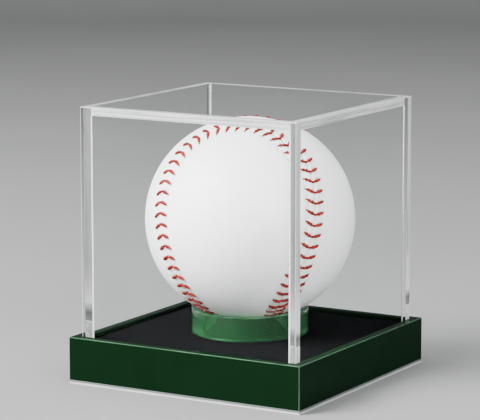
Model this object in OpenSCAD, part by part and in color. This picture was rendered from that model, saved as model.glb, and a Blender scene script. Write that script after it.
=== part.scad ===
// Display case for one baseball: a clear five-sided cover that lifts off a green tray base.
// The ball rests on a bevelled green ring bonded to the black deck of the base.
// Units are millimetres, +Z is up, and the origin is the middle of the underside.

/* [Cover] */
// Outside width and depth of the clear cover
cover_w = 87; // [84:0.5:110]
// Height of the clear cover, from the deck to its top face
cover_h = 83.8; // [83.8:0.2:110]
// Thickness of the clear cover's sheet
sheet_t = 3.2; // [2:0.1:3.6]

/* [Base] */
// Overall height of the base, bottom plate included
base_h = 17; // [12:0.5:30]
// Thickness of the green walls of the base
wall_t = 3.2; // [2:0.1:5]
// Thickness of the clear plate under the walls
plate_t = 1.5; // [1:0.1:3]
// Thickness of the black deck
deck_t = 3; // [2:0.1:4]
// How far the rim stands above the deck, to locate the cover
rim_h = 1.2; // [0.6:0.1:3]
// Width of the four strips that carry the deck
support_w = 5; // [3:0.5:10]
// Gap between the cover and the green walls, on each side
cover_gap = 0.3; // [0.2:0.05:1]

/* [Ring] */
// Outside diameter of the ring under the ball
ring_od = 40; // [38:0.5:48]
// Bore of the ring
ring_id = 31.6; // [26:0.2:33]
// Height of the ring above the deck
ring_h = 9; // [7:0.1:9.4]
// Width of the bevel that the ball sits on
seat_w = 2.5; // [1.5:0.1:2.5]
// Small chamfer on the ring's outer top edge
ring_chamfer = 0.5; // [0.2:0.1:0.6]

/* [Ball] */
// Diameter over the leather
ball_d = 73.4; // [72.8:0.1:74.8]
// Thickness of the leather
leather_t = 1.3; // [1:0.1:1.6]
// Clearance between the leather and the ring's bevel
seat_gap = 0.5; // [0.4:0.05:0.8]
// Direction that the front lobe of the leather faces, measured from the front wall towards the right wall
ball_turn = 19.5; // [-180:0.5:180]
// Share of the radius in the main term of the seam's curve, so a larger share makes a wider waist
seam_share = 0.64; // [0.6:0.01:0.7]
// Pairs of stitches round the seam
stitches = 108; // [60:1:108]

/* [Hidden] */

// Base
tray_w = cover_w + 2 * cover_gap;
base_w = tray_w + 2 * wall_t;
deck_z = base_h - rim_h;
deck_fit = 0.1;
deck_w = tray_w - 2 * deck_fit;
support_z = deck_z - deck_t;

// Cover
cover_top_z = deck_z + cover_h;
side_w = cover_w - 2 * sheet_t;

// Ring and the ball's place on it: the bevel is tangent to the ball, seat_gap away from the leather
ball_r = ball_d / 2;
seat_r = ring_id / 2 + seat_w / 2;
seat_rise = sqrt(pow(ball_r + seat_gap, 2) - pow(seat_r, 2));
seat_drop = seat_w * seat_r / seat_rise;
ball_z = deck_z + ring_h - seat_drop / 2 + seat_rise;

// Layers of the ball, from the middle outwards
layer_gap = 0.05;
cork_r = 10.3;
black_rubber_r = 14.6;
red_rubber_r = 16.7;
wool_inner_r = 30.6;
wool_middle_r = 32.4;
wool_outer_r = 34.4;
leather_inner_r = ball_r - leather_t;
cotton_r = leather_inner_r - 0.3;

// Seam: a closed curve on the ball with radius (seam_a + seam_b) at every point
seam_a = ball_r * seam_share;
seam_b = ball_r - seam_a;
seam_even = seam_a * seam_b / (pow(seam_a, 2) + 9 * pow(seam_b, 2) + 8 * seam_a * seam_b) / 4 * 180 / PI;
seam_cut = 0.1;

// Leather panels: a shallow groove along the seam holds the thread
groove_depth = 0.5;
groove_floor = 4;
groove_edge = 5.2;
panel_steps = 96;
panel_rows = 6;
spine_reach = 100;

// Thread
thread_r = 0.35;
thread_z = ball_r - groove_depth + thread_r + 0.08;
thread_reach = 2.9;
thread_inner = 0.5;
thread_slant = 1.5;

round_fn = 128;

// Point on a sphere of radius one, on the seam, at parameter t
function seam_dir(t) = [
    seam_a * cos(t) + seam_b * cos(3 * t),
    seam_a * sin(t) - seam_b * sin(3 * t),
    2 * sqrt(seam_a * seam_b) * sin(2 * t)
] / ball_r;

// Parameter of the seam that spaces equal steps of u evenly along its length
function even_t(u) = u - seam_even * sin(4 * u);

// Middle line of the lower panel, at the angle u from straight down
function spine_dir(u) = [sin(u) / sqrt(2), sin(u) / sqrt(2), -cos(u)];

// Step along the great circle from p to q, both unit vectors, by the angle w
function arc_step(p, q, w) = let (full = acos(p * q)) (p * sin(full - w) + q * sin(w)) / sin(full);

// Row k of the lower panel at step i: rows 0 to 2 follow the seam, the rest share what is left
function row_angle(k, full) =
    k == 0 ? seam_cut / ball_r * 180 / PI :
    k == 1 ? groove_floor / ball_r * 180 / PI :
    let (edge = groove_edge / ball_r * 180 / PI) edge + (full - edge) * (k - 2) / panel_rows;
function row_dir(i, k) =
    let (t = 225 + 360 * i / panel_steps)
    let (p = seam_dir(t))
    let (q = spine_dir(spine_reach * sin(t + 45)))
    arc_step(p, q, row_angle(k, acos(p * q)));
function spine_step(i) = -spine_reach * cos(360 * i / panel_steps);

rows = 2 + panel_rows;
half = panel_steps / 2;
skin_count = rows * panel_steps + half + 1;

function skin_points(r, r_seam) = concat(
    [for (k = [0 : rows - 1], i = [0 : panel_steps - 1]) row_dir(i, k) * (k < 2 ? r_seam : r)],
    [for (i = [0 : half]) spine_dir(spine_step(i)) * r]
);
// Index of step i on row k, where the last row is the middle line that both sides share
function at(i, k) =
    let (j = i % panel_steps)
    k < rows ? k * panel_steps + j : rows * panel_steps + (j <= half ? j : panel_steps - j);
function skin_faces() = [
    for (k = [0 : rows - 1], i = [0 : panel_steps - 1])
        each [[at(i, k), at(i + 1, k), at(i + 1, k + 1)],
              [at(i, k), at(i + 1, k + 1), at(i, k + 1)]]
];
function edge_faces() = [
    for (i = [0 : panel_steps - 1])
        each [[at(i, 0), at(i, 0) + skin_count, at(i + 1, 0) + skin_count],
              [at(i, 0), at(i + 1, 0) + skin_count, at(i + 1, 0)]]
];
function shifted(face, n) = [for (v = face) v + n];
function reversed(face) = [face[2], face[1], face[0]];

// Rod from p to q
module rod(p, q, r) {
    v = q - p;
    translate(p)
        rotate([0, acos(v[2] / norm(v)), atan2(v[1], v[0])])
            cylinder(r = r, h = norm(v), $fn = 16);
}

// Upright block, centred on x and y, from z0 up
module block(w, d, h, z0) {
    translate([-w / 2, -d / 2, z0])
        cube([w, d, h]);
}

// Places a child in the ball's own frame, with the front lobe of the leather turned to its direction
module in_ball() {
    translate([0, 0, ball_z])
        rotate([0, 0, ball_turn - 135])
            children();
}

// One wound or moulded layer of the ball
module layer(r_in, r_out) {
    translate([0, 0, ball_z])
        difference() {
            sphere(r = r_out, $fn = round_fn);
            sphere(r = r_in, $fn = round_fn);
        }
}

// Half of the black rubber shell, on the side given: 1 for upper and -1 for lower
module black_rubber_half(side) {
    color("#202020")
        intersection() {
            layer(cork_r + layer_gap, black_rubber_r);
            block(4 * cork_r, 4 * cork_r, 2 * cork_r, ball_z + (side > 0 ? layer_gap / 2 : -2 * cork_r - layer_gap / 2));
        }
}

// Leather panel whose waist is at the bottom of the ball
module leather_shape() {
    skin = skin_faces();
    polyhedron(
        points = concat(
            skin_points(ball_r, ball_r - groove_depth),
            skin_points(leather_inner_r, leather_inner_r)
        ),
        faces = concat(
            skin,
            [for (f = skin) shifted(reversed(f), skin_count)],
            edge_faces()
        ),
        convexity = 6
    );
}

// One stitch, on the side given: from a hole in the leather to the seam, slanting along it
module stitch(u, side) {
    t = even_t(u);
    p = seam_dir(t);
    ahead = seam_dir(t + 0.5) - seam_dir(t - 0.5);
    along = ahead / norm(ahead);
    across = cross(p, along) * side;
    hole = p * thread_z + across * thread_reach;
    middle = p * thread_z + across * thread_inner + along * thread_slant;
    rod(hole / norm(hole) * thread_z, middle / norm(middle) * thread_z, thread_r);
}

module base_bottom_plate() {
    color("#dfe8e6", 0.6) block(base_w, base_w, plate_t, 0);
}

// Long walls run the full width, and the side walls stand between them
module base_wall_long(side) {
    color("#15351f", 0.9)
        translate([0, side * (base_w - wall_t) / 2, 0])
            block(base_w, wall_t, base_h - plate_t, plate_t);
}

module base_wall_short(side) {
    color("#0f2815", 0.9)
        translate([side * (base_w - wall_t) / 2, 0, 0])
            block(wall_t, tray_w, base_h - plate_t, plate_t);
}

module deck_support_long(side) {
    color("#101010")
        translate([0, side * (deck_w - support_w) / 2, 0])
            block(deck_w, support_w, support_z - plate_t, plate_t);
}

module deck_support_short(side) {
    color("#101010")
        translate([side * (deck_w - support_w) / 2, 0, 0])
            block(support_w, deck_w - 2 * support_w, support_z - plate_t, plate_t);
}

module deck_panel() {
    color("#161616") block(deck_w, deck_w, deck_t, support_z);
}

// The ring's bevel leans in towards the bore, tangent to the ball
module ball_ring() {
    r_out = ring_od / 2;
    r_in = ring_id / 2;
    color("#2f7a45", 0.8)
        translate([0, 0, deck_z])
            rotate_extrude($fn = round_fn)
                polygon([
                    [r_in, 0],
                    [r_out, 0],
                    [r_out, ring_h - ring_chamfer],
                    [r_out - ring_chamfer, ring_h],
                    [r_in + seat_w, ring_h],
                    [r_in, ring_h - seat_drop]
                ]);
}

// The four walls of the cover stand its full height, and the top is let in flush between them
module cover_top() {
    color("#f2f7f7", 0.25) block(side_w, side_w, sheet_t, cover_top_z - sheet_t);
}

module cover_long(side) {
    color("#f2f7f7", 0.25)
        translate([0, side * (cover_w - sheet_t) / 2, 0])
            block(cover_w, sheet_t, cover_h, deck_z);
}

module cover_short(side) {
    color("#f2f7f7", 0.25)
        translate([side * (cover_w - sheet_t) / 2, 0, 0])
            block(sheet_t, side_w, cover_h, deck_z);
}

module cork_core() {
    color("#a8764a") translate([0, 0, ball_z]) sphere(r = cork_r, $fn = round_fn);
}

module red_rubber_shell() {
    color("#a03028") layer(black_rubber_r + layer_gap, red_rubber_r);
}

module wool_winding_inner() {
    color("#8d8f8c") layer(red_rubber_r + layer_gap, wool_inner_r);
}

module wool_winding_middle() {
    color("#dedcd4") layer(wool_inner_r + layer_gap, wool_middle_r);
}

module wool_winding_outer() {
    color("#8d8f8c") layer(wool_middle_r + layer_gap, wool_outer_r);
}

module cotton_winding() {
    color("#f0eee6") layer(wool_outer_r + layer_gap, cotton_r);
}

module leather_panel_a() {
    color("#f3f2ef") in_ball() leather_shape();
}

// A half turn about the seam's own axis brings one panel onto the other
module leather_panel_b() {
    color("#f3f2ef") in_ball() rotate([180, 0, 0]) leather_shape();
}

module seam_stitching() {
    color("#bb3a30")
        in_ball()
            for (i = [0 : stitches - 1], side = [-1, 1])
                stitch(360 * i / stitches, side);
}

base_bottom_plate();
base_wall_long(-1);  // base_wall_front
base_wall_long(1);  // base_wall_back
base_wall_short(-1);  // base_wall_left
base_wall_short(1);  // base_wall_right
deck_support_long(-1);  // deck_support_front
deck_support_long(1);  // deck_support_back
deck_support_short(-1);  // deck_support_left
deck_support_short(1);  // deck_support_right
deck_panel();
ball_ring();
cover_top();
cover_long(-1);  // cover_front
cover_long(1);  // cover_back
cover_short(-1);  // cover_left
cover_short(1);  // cover_right
cork_core();
black_rubber_half(-1);  // black_rubber_half_lower
black_rubber_half(1);  // black_rubber_half_upper
red_rubber_shell();
wool_winding_inner();
wool_winding_middle();
wool_winding_outer();
cotton_winding();
leather_panel_a();
leather_panel_b();
seam_stitching();
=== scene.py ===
"""Looks of the baseball display case: clear lift-off cover, green tray base, ring and ball."""

import math

import bmesh
import bpy
import numpy as np
from mathutils import Matrix, Vector, kdtree


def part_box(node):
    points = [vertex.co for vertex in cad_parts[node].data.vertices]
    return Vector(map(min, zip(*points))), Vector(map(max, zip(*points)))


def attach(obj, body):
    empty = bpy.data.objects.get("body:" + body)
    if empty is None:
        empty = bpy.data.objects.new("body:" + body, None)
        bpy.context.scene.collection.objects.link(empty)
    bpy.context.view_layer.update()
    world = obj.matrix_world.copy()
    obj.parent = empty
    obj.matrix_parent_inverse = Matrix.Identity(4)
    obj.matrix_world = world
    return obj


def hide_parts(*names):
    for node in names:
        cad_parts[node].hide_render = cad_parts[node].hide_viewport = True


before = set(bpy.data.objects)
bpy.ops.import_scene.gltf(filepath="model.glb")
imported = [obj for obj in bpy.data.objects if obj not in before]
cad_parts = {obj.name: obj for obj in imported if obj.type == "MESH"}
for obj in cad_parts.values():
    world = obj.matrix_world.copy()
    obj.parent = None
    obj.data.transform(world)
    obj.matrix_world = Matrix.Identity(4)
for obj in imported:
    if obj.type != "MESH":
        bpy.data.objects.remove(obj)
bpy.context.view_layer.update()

MM = 0.001

# Where the camera stands and what it looks at, in metres
CAMERA_AT = (0.4527, -0.7841, 0.2108)
CAMERA_AIM = (-0.0027, -0.0016, 0.0601)
CAMERA_LENS = 190.8

# Ball
BALL_R = 36.7 * MM
LEATHER_T = 1.3 * MM
LOBE_TURN = math.radians(19.5 - 135)
SEAM_SHARE = 0.64
STITCHES = 108
STITCH_REACH = 3.9 * MM
STITCH_LEAD = 1.5 * MM
STITCH_POINTS = 17
STITCH_MIDDLE = 0.10 * MM
STITCH_RISE = 0.02 * MM
STITCH_SINK_OUT = 0.62 * MM
STITCH_SINK_IN = 0.42 * MM
STITCH_LOW_DROP = 0.10 * MM
STITCH_LOW_THIN = 0.40
# Depth below the ball's middle, as a share of its radius, where the ring starts to hold the stitches
STITCH_LOW_FROM = 0.78
STITCH_LOW_SPAN = 0.06

# Index of refraction of acrylic, and of the leather and thread
ACRYLIC_IOR = 1.49
SOFT_IOR = 1.45

# Sheets
JOINT_GAP = 0.012 * MM
COVER_BEVEL = 0.22 * MM
LID_CORNER = 0.6 * MM
WALL_BEVEL = 0.30 * MM
PLATE_BEVEL = 0.15 * MM
DECK_BEVEL = 0.20 * MM
BEAD = 0.5 * MM

# Painted light and shade up the cover's upright edges: height as a share of the span, and painted tone from
# 0 to 1, with painted shade round 0.52 and a painted highlight at 0.60
FOOT_SPAN = 50 * MM
FOOT_PAINTED_LIGHT = [(0.0, 0.0), (0.45, 0.0), (0.46, 0.24), (0.52, 0.1), (0.60, 0.95), (0.72, 0.7), (0.90, 0.5)]

# Share of light the clear sheets mirror. Low, so that the black deck stays black in a pale room
MIRROR_SHARE = 0.003


# ---------------------------------------------------------------- camera, light and stage

def aim(obj, target):
    way = Vector(target) - obj.location
    obj.rotation_mode = "QUATERNION"
    obj.rotation_quaternion = way.to_track_quat("-Z", "Y")


def make_camera():
    data = bpy.data.cameras.new("camera")
    cam = bpy.data.objects.new("camera", data)
    bpy.context.scene.collection.objects.link(cam)
    cam.location = CAMERA_AT
    aim(cam, CAMERA_AIM)
    data.lens = CAMERA_LENS
    data.clip_start = 0.01
    data.clip_end = 20
    bpy.context.scene.camera = cam


def soft_light(name, at, target, size, watts):
    data = bpy.data.lights.new(name, "AREA")
    data.shape = "RECTANGLE"
    data.size, data.size_y = size
    data.energy = watts
    light = bpy.data.objects.new(name, data)
    bpy.context.scene.collection.objects.link(light)
    light.location = at
    aim(light, target)


# ---------------------------------------------------------------- node helpers

class Nodes:
    """Short calls for building a material's node tree."""

    def __init__(self, name):
        self.mat = bpy.data.materials.new(name)
        self.mat.use_nodes = True
        self.tree = self.mat.node_tree
        self.tree.nodes.clear()
        self.out = self.tree.nodes.new("ShaderNodeOutputMaterial")

    def add(self, kind, **settings):
        node = self.tree.nodes.new("ShaderNode" + kind)
        for key, value in settings.items():
            setattr(node, key, value)
        return node

    def link(self, source, target):
        self.tree.links.new(source, target)

    def place(self, stretch=(1, 1, 1), turn=(0, 0, 0)):
        coords = self.add("TexCoord")
        mapping = self.add("Mapping")
        mapping.inputs["Scale"].default_value = stretch
        mapping.inputs["Rotation"].default_value = turn
        self.link(coords.outputs["Object"], mapping.inputs["Vector"])
        return mapping.outputs["Vector"]

    def height(self):
        """Height over the floor, in metres."""
        split = self.add("SeparateXYZ")
        self.link(self.place(), split.inputs["Vector"])
        return split.outputs["Z"]

    def noise(self, where, scale, detail=3.0, rough=0.55):
        node = self.add("TexNoise")
        node.inputs["Scale"].default_value = scale
        node.inputs["Detail"].default_value = detail
        node.inputs["Roughness"].default_value = rough
        self.link(where, node.inputs["Vector"])
        return node.outputs["Fac"]

    def cells(self, where, scale, feature="F1"):
        node = self.add("TexVoronoi", feature=feature)
        node.inputs["Scale"].default_value = scale
        self.link(where, node.inputs["Vector"])
        return node.outputs["Distance"]

    def ramp(self, value, stops):
        node = self.add("ValToRGB")
        ramp = node.color_ramp
        while len(ramp.elements) < len(stops):
            ramp.elements.new(0.5)
        for element, (at, colour) in zip(ramp.elements, stops):
            element.position = at
            element.color = (*colour, 1)
        self.link(value, node.inputs["Fac"])
        return node.outputs["Color"]

    def maths(self, operation, a, b):
        node = self.add("Math", operation=operation)
        for socket, value in zip(node.inputs, (a, b)):
            if isinstance(value, (int, float)):
                socket.default_value = value
            else:
                self.link(value, socket)
        return node.outputs["Value"]

    def bump(self, height, strength, distance):
        node = self.add("Bump")
        node.inputs["Strength"].default_value = strength
        node.inputs["Distance"].default_value = distance
        self.link(height, node.inputs["Height"])
        return node.outputs["Normal"]

    def shader(self, **inputs):
        node = self.add("BsdfPrincipled")
        for key, value in inputs.items():
            socket = node.inputs[key.replace("_", " ")]
            if isinstance(value, bpy.types.NodeSocket):
                self.link(value, socket)
            elif isinstance(value, tuple) and len(value) == 3:
                socket.default_value = (*value, 1)
            else:
                socket.default_value = value
        return node.outputs["BSDF"]

    def sides(self, outside, inside):
        """One shader for a face seen from outside its solid, another from inside."""
        side = self.add("NewGeometry")
        mix = self.add("MixShader")
        self.link(side.outputs["Backfacing"], mix.inputs[0])
        self.link(outside, mix.inputs[1])
        self.link(inside, mix.inputs[2])
        return mix.outputs["Shader"]

    def finish(self, surface):
        self.link(surface, self.out.inputs["Surface"])
        return self.mat


def lamp_light_passes(n, surface, colour):
    """Lets lamp light through a clear surface, dimmed to the colour given."""
    path = n.add("LightPath")
    clear = n.add("BsdfTransparent")
    clear.inputs["Color"].default_value = (*colour, 1)
    mix = n.add("MixShader")
    n.link(path.outputs["Is Shadow Ray"], mix.inputs[0])
    n.link(surface, mix.inputs[1])
    n.link(clear.outputs["BSDF"], mix.inputs[2])
    return mix.outputs["Shader"]


# ---------------------------------------------------------------- materials

def clear_sheet(name, bends):
    """Broad faces of clear sheet, with a faint mirror. One that bends refracts what is behind it."""
    n = Nodes(name)
    where = n.place()
    tint = n.ramp(n.noise(where, 60, 2), [(0.3, (0.975, 0.985, 0.982)), (0.7, (0.99, 0.995, 0.993))])
    wave = n.bump(n.noise(where, 25, 1), 0.04, 0.2 * MM)
    through = n.add("BsdfRefraction" if bends else "BsdfTransparent")
    n.link(tint, through.inputs["Color"])
    if bends:
        through.inputs["Roughness"].default_value = 0.0
        through.inputs["IOR"].default_value = ACRYLIC_IOR
        n.link(wave, through.inputs["Normal"])
    mirror = n.add("BsdfGlossy")
    mirror.inputs["Roughness"].default_value = 0.03
    n.link(wave, mirror.inputs["Normal"])
    mix = n.add("MixShader")
    mix.inputs[0].default_value = MIRROR_SHARE
    n.link(through.outputs["BSDF"], mix.inputs[1])
    n.link(mirror.outputs["BSDF"], mix.inputs[2])
    if not bends:
        return n.finish(mix.outputs["Shader"])
    return n.finish(lamp_light_passes(n, mix.outputs["Shader"], (0.93, 0.94, 0.935)))


def clear_edge_painted_glow(name, stretch, greys, foot=False):
    """Cut and polished edge of the clear sheet, painted as glowing: an opaque grey ramp stands in for the
    light the clear edge gathers, with polish streaks along its length. From inside the sheet it is clear.
    With foot, an upright edge has painted light near the base: a painted highlight, painted shade below it
    and mottling at the bottom."""
    n = Nodes(name)
    streaks = n.noise(n.place(stretch), 2.0, 5, 0.6)
    bumps = n.bump(streaks, 0.2, 0.05 * MM)
    dull, mid, bright = [(grey,) * 3 for grey in greys]
    stops = [(0.30, dull), (0.47, mid), (0.64, bright)]
    if foot:
        height = n.maths("DIVIDE", n.height(), FOOT_SPAN)
        wavy = n.maths("ADD", height, n.maths("MULTIPLY", streaks, 0.02))
        marks = n.ramp(wavy, [(at, (level,) * 3) for at, level in FOOT_PAINTED_LIGHT])
        mottle = n.maths("MULTIPLY", n.noise(n.place((900, 900, 500)), 1, 4, 0.7), 1.3)
        at_bottom = n.maths("LESS_THAN", height, FOOT_PAINTED_LIGHT[1][0])
        shift = n.maths("ADD", n.maths("MULTIPLY", mottle, at_bottom), n.maths("SUBTRACT", marks, 0.5))
        streaks = n.maths("ADD", streaks, shift)
        # Painted shade at the dark end of the ramp and a painted highlight at its lit end
        dark, painted_highlight_stop = tuple(0.25 * c for c in dull), tuple(min(2.4 * c, 0.8) for c in mid)
        stops = [(0.02, dark), *stops, (0.95, painted_highlight_stop)]
    # The edge's colour is painted glow: opaque grey where the acrylic is clear
    edge = n.shader(Base_Color=n.ramp(streaks, stops), Roughness=0.18, IOR=ACRYLIC_IOR, Normal=bumps)
    return n.finish(n.sides(edge, n.add("BsdfTransparent").outputs["BSDF"]))


def clear_corner_painted_highlight():
    """Polished corners and the beads of cement in the inner corners, painted light grey as the highlights
    they catch: opaque grey where the acrylic is clear.
    """
    n = Nodes("clear_corner_painted_highlight")
    tint = n.ramp(n.noise(n.place(), 300, 2), [(0.3, (0.50, 0.51, 0.505)), (0.7, (0.64, 0.65, 0.645))])
    return n.finish(n.shader(Base_Color=tint, Roughness=0.12, IOR=ACRYLIC_IOR))


def green_sheet():
    n = Nodes("green_sheet")
    where = n.place()
    tint = n.ramp(
        n.noise(where, 45, 3), [(0.3, (0.0020, 0.0104, 0.0037)), (0.7, (0.0026, 0.0127, 0.0046))]
    )
    return n.finish(
        n.shader(
            Base_Color=tint,
            Roughness=0.12,
            IOR=1.07,
            Normal=n.bump(n.noise(where, 30, 1), 0.03, 0.2 * MM),
        )
    )


def green_edge_painted_highlight():
    # Painted highlight: the green walls' bevels get an opaque lighter green that stands in for the bright
    # lines of light along their edges
    n = Nodes("green_edge_painted_highlight")
    streaks = n.noise(n.place((40, 40, 40)), 5, 3)
    tint = n.ramp(streaks, [(0.35, (0.02, 0.06, 0.028)), (0.65, (0.042, 0.10, 0.052))])
    return n.finish(
        n.shader(
            Base_Color=tint, Roughness=0.15, IOR=ACRYLIC_IOR, Normal=n.bump(streaks, 0.1, 0.05 * MM)
        )
    )


def ring_glass(n):
    """Clear green, with a little of its own colour in the body."""
    where = n.place((1, 1, 0.25))
    tint = n.ramp(n.noise(where, 120, 2), [(0.3, (0.15, 0.50, 0.23)), (0.7, (0.19, 0.58, 0.28))])
    return n.shader(
        Base_Color=tint,
        Roughness=0.0,
        IOR=ACRYLIC_IOR,
        Transmission_Weight=0.955,
        Specular_Tint=(0.2, 0.25, 0.2),
        Normal=n.bump(n.noise(where, 60, 1), 0.04, 0.2 * MM),
    )


def ring_green():
    n = Nodes("ring_green")
    return n.finish(lamp_light_passes(n, ring_glass(n), RING_SHADE))


def ring_bore_painted_light():
    """Bore of the ring: clear from inside the glass, and painted light from inside the bore: an opaque pale
    green where the bore lies in the ball's shade.
    """
    n = Nodes("ring_bore_painted_light")
    tint = n.ramp(n.noise(n.place(), 90, 2), [(0.3, (0.30, 0.66, 0.38)), (0.7, (0.38, 0.76, 0.46))])
    wall = n.shader(Base_Color=tint, Roughness=0.2, IOR=ACRYLIC_IOR)
    return n.finish(lamp_light_passes(n, n.sides(wall, ring_glass(n)), RING_SHADE))


def ring_rim_painted_highlight():
    """Top edge of the ring, with a painted highlight: opaque green in lighter and darker patches, where the
    clear edge would catch the light.
    """
    n = Nodes("ring_rim_painted_highlight")
    tint = n.ramp(
        n.noise(n.place(), 90, 3), [(0.40, (0.012, 0.055, 0.022)), (0.60, (0.09, 0.22, 0.12))]
    )
    return n.finish(n.shader(Base_Color=tint, Roughness=0.1, IOR=ACRYLIC_IOR))


def ring_foot_painted_shade():
    """Bottom edges of the ring, with painted shade: opaque dark green where it meets the black deck."""
    n = Nodes("ring_foot_painted_shade")
    tint = n.ramp(
        n.noise(n.place(), 90, 3), [(0.40, (0.006, 0.022, 0.009)), (0.60, (0.012, 0.040, 0.018))]
    )
    return n.finish(n.shader(Base_Color=tint, Roughness=0.3, IOR=ACRYLIC_IOR))


def black_sheet():
    n = Nodes("black_sheet")
    where = n.place()
    tint = n.ramp(n.noise(where, 400, 4), [(0.3, (0.003, 0.003, 0.0034)), (0.7, (0.0055, 0.0055, 0.006))])
    return n.finish(
        n.shader(
            Base_Color=tint,
            Roughness=0.5,
            IOR=ACRYLIC_IOR,
            Specular_IOR_Level=0.0,
            Normal=n.bump(n.noise(where, 1500, 3), 0.08, 0.05 * MM),
        )
    )


def plate_clear_painted_light():
    """Clear bottom plate with painted light on its edge: grey near the green wall as painted shade, and
    white below as a painted glow.
    """
    n = Nodes("plate_clear_painted_light")
    level = n.maths("DIVIDE", n.height(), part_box("base_bottom_plate")[1][2])
    wavy = n.maths("ADD", level, n.maths("MULTIPLY", n.noise(n.place(), 90, 3), 0.25))
    tint = n.ramp(wavy, [(0.45, (0.70, 0.72, 0.71)), (0.75, (0.16, 0.175, 0.17))])
    return n.finish(
        n.shader(Base_Color=tint, Roughness=0.12, IOR=ACRYLIC_IOR, Transmission_Weight=0.25)
    )


def white_leather():
    n = Nodes("white_leather")
    where = n.place()
    patch = n.noise(where, 35, 4)
    tint = n.ramp(patch, [(0.3, (0.86, 0.858, 0.854)), (0.7, (0.92, 0.918, 0.915))])
    pebble = n.maths("MULTIPLY", n.cells(where, 900, "SMOOTH_F1"), 0.7)
    grain = n.maths("ADD", pebble, n.maths("MULTIPLY", n.noise(where, 2600, 3), 0.5))
    normal = n.bump(grain, 0.25, 0.08 * MM)
    rough = n.ramp(n.noise(where, 300, 3), [(0.3, (0.42, 0.42, 0.42)), (0.7, (0.55, 0.55, 0.55))])
    return n.finish(
        n.shader(Base_Color=tint, Roughness=rough, IOR=SOFT_IOR, Normal=normal)
    )


def red_thread():
    n = Nodes("red_thread")
    where = n.place()
    tint = n.ramp(n.noise(where, 700, 3), [(0.3, (0.12, 0.009, 0.007)), (0.7, (0.25, 0.020, 0.015))])
    normal = n.bump(n.noise(where, 6000, 2), 0.4, 0.05 * MM)
    return n.finish(
        n.shader(
            Base_Color=tint, Roughness=0.7, IOR=SOFT_IOR, Specular_IOR_Level=0.1, Normal=normal
        )
    )


def yarn(name, dark, light, turn):
    n = Nodes(name)
    where = n.place((1, 1, 1), turn)
    wave = n.add("TexWave", wave_type="BANDS", bands_direction="Z")
    wave.inputs["Scale"].default_value = 420
    wave.inputs["Distortion"].default_value = 3.0
    n.link(where, wave.inputs["Vector"])
    tint = n.ramp(wave.outputs["Fac"], [(0.2, dark), (0.8, light)])
    return n.finish(
        n.shader(
            Base_Color=tint, Roughness=0.9, Normal=n.bump(wave.outputs["Fac"], 0.5, 0.3 * MM)
        )
    )


def speckled(name, dark, light, scale, rough):
    n = Nodes(name)
    where = n.place()
    fac = n.noise(where, scale, 4)
    tint = n.ramp(fac, [(0.35, dark), (0.65, light)])
    return n.finish(n.shader(Base_Color=tint, Roughness=rough, Normal=n.bump(fac, 0.3, 0.2 * MM)))


def pale_floor():
    n = Nodes("pale_floor")
    tint = n.ramp(n.noise(n.place(), 6, 2), [(0.3, (0.21, 0.21, 0.21)), (0.7, (0.225, 0.225, 0.225))])
    return n.finish(n.shader(Base_Color=tint, Roughness=0.75))


# ---------------------------------------------------------------- mesh helpers

def new_piece(name, verts, faces, mats, smooth=False):
    mesh = bpy.data.meshes.new(name)
    mesh.from_pydata([tuple(v) for v in verts], [], [tuple(int(i) for i in f) for f in faces])
    mesh.validate()
    mesh.update()
    for mat in mats:
        mesh.materials.append(mat)
    mesh.polygons.foreach_set("use_smooth", [smooth] * len(mesh.polygons))
    obj = bpy.data.objects.new(name, mesh)
    bpy.context.scene.collection.objects.link(obj)
    return obj


def sheet_piece(node, body, mats, outer, bevel, uprights=False):
    """A sheet in a node's box. mats holds its materials: broad faces, level cuts, upright cuts across
    X and across Y, and bevels. outer is the box on whose own edges the sheet is bevelled, and with
    uprights the sheet's own four upright edges are too."""
    lo, hi = [Vector(c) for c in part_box(node)]
    planes = [(axis, plane[axis]) for plane in outer for axis in range(3)]
    lo += Vector((JOINT_GAP,) * 3)
    hi -= Vector((JOINT_GAP,) * 3)
    size = hi - lo
    thin = min(range(3), key=lambda i: size[i])
    bm = bmesh.new()
    place = Matrix.Translation((lo + hi) / 2) @ Matrix.Diagonal((*size, 1))
    bmesh.ops.create_cube(bm, size=1, matrix=place)
    bm.normal_update()
    for face in bm.faces:
        across = max(range(3), key=lambda i: abs(face.normal[i]))
        face.material_index = 0 if across == thin else 1 if thin == 2 or across == 2 else 2 + across
    edges = []
    for edge in bm.edges:
        mid = (edge.verts[0].co + edge.verts[1].co) / 2
        upright = uprights and abs(edge.verts[0].co.z - edge.verts[1].co.z) > JOINT_GAP
        if upright or sum(abs(mid[axis] - at) < 2 * JOINT_GAP for axis, at in planes) == 2:
            edges.append(edge)
    bmesh.ops.bevel(bm, geom=edges, offset=bevel, segments=3, profile=0.5, affect="EDGES", material=4)
    mesh = bpy.data.meshes.new(node + "_sheet")
    bm.to_mesh(mesh)
    bm.free()
    for mat in mats:
        mesh.materials.append(mat)
    obj = bpy.data.objects.new(node + "_sheet", mesh)
    bpy.context.scene.collection.objects.link(obj)
    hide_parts(node)
    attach(obj, body)


def nodes_box(names):
    """Box round several nodes."""
    boxes = [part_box(name) for name in names]
    lo = [min(box[0][axis] for box in boxes) for axis in range(3)]
    hi = [max(box[1][axis] for box in boxes) for axis in range(3)]
    return lo, hi


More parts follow.
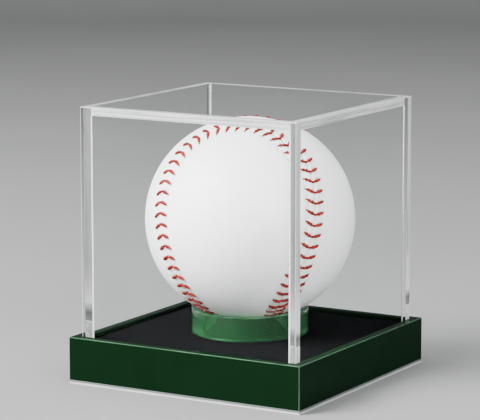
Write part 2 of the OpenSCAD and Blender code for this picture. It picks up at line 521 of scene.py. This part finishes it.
def rounded(points, radius, steps=4):
    """A closed outline with each corner rounded by an arc of the radius given."""
    out = []
    for i, corner in enumerate(points):
        corner = Vector(corner)
        before = (Vector(points[i - 1]) - corner).normalized()
        after = (Vector(points[(i + 1) % len(points)]) - corner).normalized()
        half = before.angle(after) / 2
        centre = corner + (before + after).normalized() * (radius / math.sin(half))
        first = corner + before * (radius / math.tan(half)) - centre
        last = corner + after * (radius / math.tan(half)) - centre
        sweep = first.angle_signed(last)
        for k in range(steps + 1):
            turn = -sweep * k / steps
            c, s = math.cos(turn), math.sin(turn)
            out.append(centre + Vector((c * first.x - s * first.y, s * first.x + c * first.y)))
    return out


def lathe(name, outline, centre, mats, steps=192):
    """Turns a closed outline of (radius, height) about the vertical through the centre."""
    angles = [2 * math.pi * i / steps for i in range(steps)]
    verts = [
        (centre[0] + r * math.cos(a), centre[1] + r * math.sin(a), z) for a in angles for r, z in outline
    ]
    count = len(outline)
    faces = [
        (
            i * count + k,
            (i + 1) % steps * count + k,
            (i + 1) % steps * count + (k + 1) % count,
            i * count + (k + 1) % count,
        )
        for i in range(steps)
        for k in range(count)
    ]
    return new_piece(name, verts, faces, mats, smooth=True)


# ---------------------------------------------------------------- ball

cork_lo, cork_hi = [np.array(c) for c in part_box("cork_core")]
BALL_AT = (cork_lo + cork_hi) / 2
SEAM_A = SEAM_SHARE
SEAM_B = 1 - SEAM_SHARE
SPREAD = np.sqrt(SEAM_A * SEAM_B)


def seam_dir(t):
    """Unit vectors to the seam at the parameters t, in the ball's own frame."""
    return np.stack(
        [
            SEAM_A * np.cos(t) + SEAM_B * np.cos(3 * t),
            SEAM_A * np.sin(t) - SEAM_B * np.sin(3 * t),
            2 * SPREAD * np.sin(2 * t),
        ],
        -1,
    )


def even_t(u):
    """Parameters of the seam that space equal steps of u evenly along its length."""
    even = SEAM_A * SEAM_B / (SEAM_A**2 + 9 * SEAM_B**2 + 8 * SEAM_A * SEAM_B) / 4
    return u - even * np.sin(4 * u)


def unit(v):
    return v / np.linalg.norm(v, axis=-1, keepdims=True)


def seam_frame(t):
    """Direction, forward and sideways unit vectors of the seam at t."""
    p = unit(seam_dir(t))
    ahead = unit(seam_dir(t + 1e-3) - seam_dir(t - 1e-3))
    side = unit(np.cross(p, ahead))
    return p, ahead, side


def to_world(points):
    c, s = math.cos(LOBE_TURN), math.sin(LOBE_TURN)
    turn = np.array([[c, -s, 0], [s, c, 0], [0, 0, 1]])
    return points @ turn.T + BALL_AT


# Height of the leather over the ball's radius, by distance from the seam
WELT = [
    (0.00, -0.62),
    (0.25, -0.46),
    (0.60, -0.20),
    (1.20, -0.04),
    (2.20, -0.02),
    (3.20, -0.10),
    (3.90, -0.20),
    (4.70, -0.12),
    (5.80, -0.04),
    (7.20, 0.00),
]
# Rows of points between two stitches, and in from the fine rows to a panel's middle line
STEPS_A_STITCH = 8
OUTER_BLEND = 12
INNER_BLEND = 8
INNER_ROWS = np.array([0.10, 3.0]) * MM
PUCKER_DEPTH = 0.13 * MM
PUCKER_AT = 5.0
PUCKER_W = 1.5
HOLE_DEPTH = 0.45 * MM
HOLE_R = 0.42 * MM
PRESS_DEPTH = 0.16 * MM
PRESS_R = 0.65 * MM


def thread_paths():
    """Centre lines of the thread arms, from a hole, over the welt and down into the seam, each with
    its thickness along the way as a share of the full one. Low on the ball, where the ring holds it,
    they lie flatter."""
    paths = []
    share = np.linspace(0, 1, STITCH_POINTS)
    for i in range(STITCHES):
        t = even_t(np.array([2 * math.pi * i / STITCHES]))
        p, ahead, side = [v[0] for v in seam_frame(t)]
        for way in (-1, 1):
            across = (STITCH_REACH * (1 - share) + STITCH_MIDDLE * share)[:, None]
            along = (STITCH_LEAD * share**0.8)[:, None]
            way_out = unit(p * BALL_R + side * way * across + ahead * along)
            low = np.clip((-STITCH_LOW_FROM - way_out[:, 2]) / STITCH_LOW_SPAN, 0, 1)
            height = BALL_R + STITCH_RISE * np.sin(math.pi * share)
            height = height - STITCH_SINK_OUT * np.clip(1 - share / 0.16, 0, 1) ** 1.2
            height = height - STITCH_SINK_IN * np.clip((share - 0.84) / 0.16, 0, 1) - STITCH_LOW_DROP * low
            fat = np.interp(share, [0, 0.12, 0.45, 0.75, 1], [0.35, 0.6, 1, 0.9, 0.6])
            paths.append((way_out * height[:, None], fat * (1 - STITCH_LOW_THIN * low)))
    return paths


def leather_rows():
    """Distances from the seam of the rows of the outer skin, fine where the stitches are."""
    near = np.concatenate([[0.10, 0.20], np.arange(0.35, 5.0, 0.29), [5.2, 5.7, 6.3, 7.0, 7.8]])
    return near * MM


def panel_grid(rows, blend_rows, steps):
    """Unit vectors of a panel's rows, from the seam to its middle line, with the line itself last."""
    t = even_t(math.radians(225) + np.arange(steps) * 2 * math.pi / steps)
    p = unit(seam_dir(t))
    wave = np.sin(t + math.pi / 4)
    reach = math.radians(100) * np.arcsin(0.96 * wave) / math.asin(0.96)
    q = np.stack([np.sin(reach) / math.sqrt(2), np.sin(reach) / math.sqrt(2), -np.cos(reach)], -1)
    full = np.arccos(np.clip((p * q).sum(-1, keepdims=True), -1, 1))
    last = rows[-1] / BALL_R
    angles = [np.full_like(full, d / BALL_R) for d in rows]
    angles += [last + (full - last) * k / blend_rows for k in range(1, blend_rows)]
    grid = [(p * np.sin(full - a) + q * np.sin(a)) / np.sin(full) for a in angles]
    return grid, q[: steps // 2 + 1], [a[:, 0] * BALL_R for a in angles]


def skin(grid, offset):
    """Faces of a panel's rows and middle line, whose points start at the offset given."""
    steps, count = len(grid[0]), len(grid)
    half = steps // 2
    i = np.arange(steps)
    j = (i + 1) % steps
    faces = []
    for k in range(count - 1):
        a, b = offset + k * steps, offset + (k + 1) * steps
        faces.append(np.stack([a + i, a + j, b + j, b + i], -1))
    fold = np.where(i <= half, i, steps - i)
    fold_next = np.where(i + 1 <= half, i + 1, steps - i - 1)
    a, b = offset + (count - 1) * steps, offset + count * steps
    faces.append(np.stack([a + i, a + j, b + fold_next, b + fold], -1))
    return np.concatenate(faces)


def leather_panel(node, flip, threads, holes, mat):
    """One leather panel, a closed shell with a welt, stitch holes and dents under the thread."""
    steps = STITCHES * STEPS_A_STITCH
    grid, line, away = panel_grid(leather_rows(), OUTER_BLEND, steps)
    directions = np.concatenate([*grid, line])
    distance = np.concatenate([*away, np.full(len(line), 0.02)]) / MM
    height = np.interp(distance, [d for d, _ in WELT], [h for _, h in WELT]) * MM
    if flip:
        directions = directions * np.array([1, -1, -1])
    points = directions * BALL_R
    phase = 2 * math.pi * (np.arange(len(distance)) % steps / STEPS_A_STITCH - 0.5)
    reach = np.exp(-(((distance - PUCKER_AT) / PUCKER_W) ** 2))
    height -= PUCKER_DEPTH * reach * (0.5 + 0.5 * np.cos(phase))
    for index in np.nonzero(distance < 6)[0]:
        at = Vector(points[index])
        height[index] -= PRESS_DEPTH * math.exp(-((threads.find(at)[2] / PRESS_R) ** 2))
        height[index] -= HOLE_DEPTH * math.exp(-((holes.find(at)[2] / HOLE_R) ** 2))
    outer = directions * (BALL_R + height)[:, None]
    inner_grid, inner_line, _ = panel_grid(INNER_ROWS, INNER_BLEND, steps)
    inner = np.concatenate([*inner_grid, inner_line]) * (BALL_R - LEATHER_T)
    if flip:
        inner = inner * np.array([1, -1, -1])
    outer_faces = skin(grid, 0)
    inner_faces = skin(inner_grid, len(outer))[:, ::-1]
    i = np.arange(steps)
    j = (i + 1) % steps
    wall = np.stack([i, i + len(outer), j + len(outer), j], -1)
    faces = np.concatenate([outer_faces, inner_faces, wall])[:, ::-1]
    obj = new_piece(node + "_skin", to_world(np.concatenate([outer, inner])), faces, [mat], smooth=True)
    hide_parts(node)
    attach(obj, "ball")


PLIES = 2
PLY_SIDES = 7
PLY_R = 0.46 * MM
PLY_OFF = 0.32 * MM
PLY_TURN = 1.5


def thread_mesh(paths, mat):
    """Every thread arm as two plies that twist round each other."""
    verts, faces = [], []
    ring = np.arange(PLY_SIDES) * 2 * math.pi / PLY_SIDES
    for path, fat in paths:
        ahead = unit(np.gradient(path, axis=0))
        up = unit(path)
        side = unit(np.cross(ahead, up))
        up = np.cross(side, ahead)
        share = np.linspace(0, 1, len(path))
        for ply in range(PLIES):
            twist = share * PLY_TURN * 2 * math.pi + ply * 2 * math.pi / PLIES
            off = (PLY_OFF * fat)[:, None]
            centre = path + off * (np.cos(twist)[:, None] * side + np.sin(twist)[:, None] * up)
            start = len(verts)
            for c, s, u, r in zip(centre, side, up, PLY_R * fat):
                for a in ring:
                    verts.append(c + r * (math.cos(a) * s + math.sin(a) * u))
            for k in range(len(path) - 1):
                for a in range(PLY_SIDES):
                    b = (a + 1) % PLY_SIDES
                    row, above = start + k * PLY_SIDES, start + (k + 1) * PLY_SIDES
                    faces.append((row + a, row + b, above + b, above + a))
            faces.append(tuple(start + a for a in reversed(range(PLY_SIDES))))
            end = start + (len(path) - 1) * PLY_SIDES
            faces.append(tuple(end + a for a in range(PLY_SIDES)))
    return new_piece("seam_thread", to_world(np.array(verts)), faces, [mat], smooth=True)


def tree_of(points):
    tree = kdtree.KDTree(len(points))
    for i, point in enumerate(points):
        tree.insert(point, i)
    tree.balance()
    return tree


def make_ball():
    paths = thread_paths()
    threads = tree_of([point for path, _ in paths for point in path[1:-1]])
    holes = tree_of([path[0] / np.linalg.norm(path[0]) * BALL_R for path, _ in paths])
    leather = white_leather()
    leather_panel("leather_panel_a", False, threads, holes, leather)
    leather_panel("leather_panel_b", True, threads, holes, leather)
    thread = thread_mesh(paths, red_thread())
    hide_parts("seam_stitching")
    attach(thread, "ball")


# ---------------------------------------------------------------- ring

RING_BORE = 15.8 * MM
SEAT_W = 2.5 * MM
SEAT_DROP = 1.285 * MM
RING_ROUND = 0.3 * MM
DECK_GAP = 0.01 * MM
RING_SHADE = (0.35, 0.70, 0.42)
# Places of the ring's materials, after the green glass: the painted rim highlight, the bore painted light
# inside and the painted shade at the foot
RIM_SLOT, BORE_SLOT, FOOT_SLOT = 1, 2, 3


def make_ring():
    lo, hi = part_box("ball_ring")
    outer = (hi[0] - lo[0]) / 2
    centre = ((lo[0] + hi[0]) / 2, (lo[1] + hi[1]) / 2)
    bottom = lo[2] + DECK_GAP
    corners = [
        (RING_BORE, bottom),
        (outer, bottom),
        (outer, hi[2]),
        (RING_BORE + SEAT_W, hi[2]),
        (RING_BORE, hi[2] - SEAT_DROP),
    ]
    outline = rounded(corners, RING_ROUND)
    mats = [ring_green(), ring_rim_painted_highlight(), ring_bore_painted_light(), ring_foot_painted_shade()]
    ring = lathe("ball_ring_turned", outline, centre, mats)
    count = len(outline)
    arc = count // len(corners)
    slots = dict.fromkeys(range(2 * arc, 3 * arc - 1), RIM_SLOT)
    slots.update(dict.fromkeys([*range(arc - 1), *range(arc, 2 * arc - 1)], FOOT_SLOT))
    slots[count - 1] = BORE_SLOT
    for face in ring.data.polygons:
        face.material_index = slots.get(face.index % count, 0)
    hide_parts("ball_ring")
    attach(ring, "base")


# ---------------------------------------------------------------- case

SIDES = ("front", "back", "left", "right")


# Scales that draw the streaks out along a level edge and along an upright one
LEVEL_STREAKS = (15, 15, 900)
UPRIGHT_STREAKS = (900, 900, 15)


def make_cover():
    names = ["cover_" + side for side in ("top", *SIDES)]
    # The cut edges are painted glow in greys. Upright cuts across X get a brighter copy and those across Y a
    # darker one: painted light and painted shade on one kind of edge. The corner material paints highlights
    # on the bevels and cement beads.
    level = clear_edge_painted_glow("clear_edge_level", LEVEL_STREAKS, (0.22, 0.37, 0.56))
    end = clear_edge_painted_glow("clear_edge_end", UPRIGHT_STREAKS, (0.24, 0.48, 0.72), foot=True)
    front = clear_edge_painted_glow("clear_edge_front", UPRIGHT_STREAKS, (0.08, 0.11, 0.145), foot=True)
    corner = clear_corner_painted_highlight()
    edges = [level, end, front, corner]
    wall, lid = clear_sheet("clear_sheet", True), clear_sheet("clear_lid", False)
    outer = nodes_box(names)
    outer[0][2] = -1
    sheet_piece(names[0], "cover", [lid, *edges], outer, LID_CORNER, uprights=True)
    for name in names[1:]:
        sheet_piece(name, "cover", [wall, *edges], outer, COVER_BEVEL)
    make_beads(corner)


def make_beads(mat):
    """Beads of solvent cement up the cover's four inner corners, with a hollow face."""
    left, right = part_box("cover_left"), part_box("cover_right")
    front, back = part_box("cover_front"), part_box("cover_back")
    low = front[0][2] + 2 * JOINT_GAP
    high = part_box("cover_top")[0][2] - 2 * JOINT_GAP
    steps = 6
    verts, faces = [], []
    for x, sx in ((left[1][0], 1), (right[0][0], -1)):
        for y, sy in ((front[1][1], 1), (back[0][1], -1)):
            x0, y0 = x + sx * 2 * JOINT_GAP, y + sy * 2 * JOINT_GAP
            outline = [(x0, y0)]
            for k in range(steps + 1):
                a = math.pi / 2 * k / steps
                outline.append((x0 + sx * BEAD * (1 - math.sin(a)), y0 + sy * BEAD * (1 - math.cos(a))))
            start, count = len(verts), len(outline)
            verts += [(*point, z) for z in (low, high) for point in outline]
            loops = [
                [start + k, start + (k + 1) % count, start + count + (k + 1) % count, start + count + k]
                for k in range(count)
            ]
            loops += [[start + k for k in reversed(range(count))], [start + count + k for k in range(count)]]
            faces += loops if sx * sy < 0 else [loop[::-1] for loop in loops]
    beads = new_piece("cover_cement_beads", verts, faces, [mat])
    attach(beads, "cover")


def make_base():
    walls = ["base_wall_" + side for side in SIDES]
    green = green_sheet()
    outer = nodes_box(walls)
    outer[0][2] = -1
    for name in walls:
        # The bevels take the painted highlight
        sheet_piece(name, "base", [green] * 4 + [green_edge_painted_highlight()], outer, WALL_BEVEL)
    # The plate's edge carries painted shade and a painted glow
    plate = plate_clear_painted_light()
    sheet_piece(
        "base_bottom_plate", "base", [plate] * 5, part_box("base_bottom_plate"), PLATE_BEVEL
    )
    black = black_sheet()
    sheet_piece("deck_panel", "base", [black] * 5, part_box("deck_panel"), DECK_BEVEL)
    for side in SIDES:
        dress("deck_support_" + side, black)


def dress(node, mat):
    """Gives a CAD node that stays in view its material."""
    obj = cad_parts[node]
    obj.data.materials.clear()
    obj.data.materials.append(mat)


def dress_ball_layers():
    dress("cork_core", speckled("ground_cork", (0.20, 0.11, 0.05), (0.50, 0.33, 0.18), 900, 0.9))
    rubber = speckled("black_rubber", (0.010, 0.010, 0.010), (0.022, 0.022, 0.022), 500, 0.6)
    dress("black_rubber_half_lower", rubber)
    dress("black_rubber_half_upper", rubber)
    dress("red_rubber_shell", speckled("red_rubber", (0.25, 0.03, 0.02), (0.40, 0.06, 0.04), 500, 0.6))
    grey = ((0.16, 0.16, 0.155), (0.40, 0.40, 0.39))
    dress("wool_winding_inner", yarn("grey_wool_inner", *grey, (0.4, 0.2, 0)))
    dress("wool_winding_middle", yarn("white_wool", (0.50, 0.49, 0.45), (0.82, 0.81, 0.77), (1.2, 0.3, 0)))
    dress("wool_winding_outer", yarn("grey_wool_outer", *grey, (0.7, 1.1, 0)))
    dress("cotton_winding", yarn("cotton_yarn", (0.60, 0.58, 0.52), (0.86, 0.85, 0.80), (0.2, 0.9, 0)))


# ---------------------------------------------------------------- stage

def make_stage():
    """A pale floor that curves up behind, in metres, and three soft lamps. The wall stands further off
    than a camera behind the case with its cover lifted, which is 1.5 m away."""
    reach, back, radius, steps = 2.2, 1.9, 0.5, 16
    wall_top = 2.2
    line = [(-reach, 0.0)]
    for k in range(steps + 1):
        a = math.pi / 2 * k / steps
        line.append((back - radius + radius * math.sin(a), radius - radius * math.cos(a)))
    line.append((back, wall_top))
    verts = [(x, y, z) for y, z in line for x in (-reach, reach)]
    faces = [(2 * k, 2 * k + 1, 2 * k + 3, 2 * k + 2) for k in range(len(line) - 1)]
    floor = new_piece("floor", verts, faces, [pale_floor()], smooth=True)
    floor.rotation_euler = (0, 0, math.radians(30))
    target = (0, 0, 0.05)
    soft_light("key", (-0.55, -0.75, 0.75), target, (0.6, 0.6), 58)
    soft_light("fill", (0.95, -0.45, 0.45), target, (0.6, 0.7), 13)
    soft_light("top", (0.05, 0.10, 1.0), target, (0.7, 0.7), 9)
    world = bpy.data.worlds.new("studio")
    bpy.context.scene.world = world
    world.use_nodes = True
    background = world.node_tree.nodes["Background"]
    background.inputs["Color"].default_value = (0.9, 0.95, 1.0, 1)
    background.inputs["Strength"].default_value = 0.25


make_camera()
make_stage()
make_cover()
make_base()
make_ring()
make_ball()
dress_ball_layers()
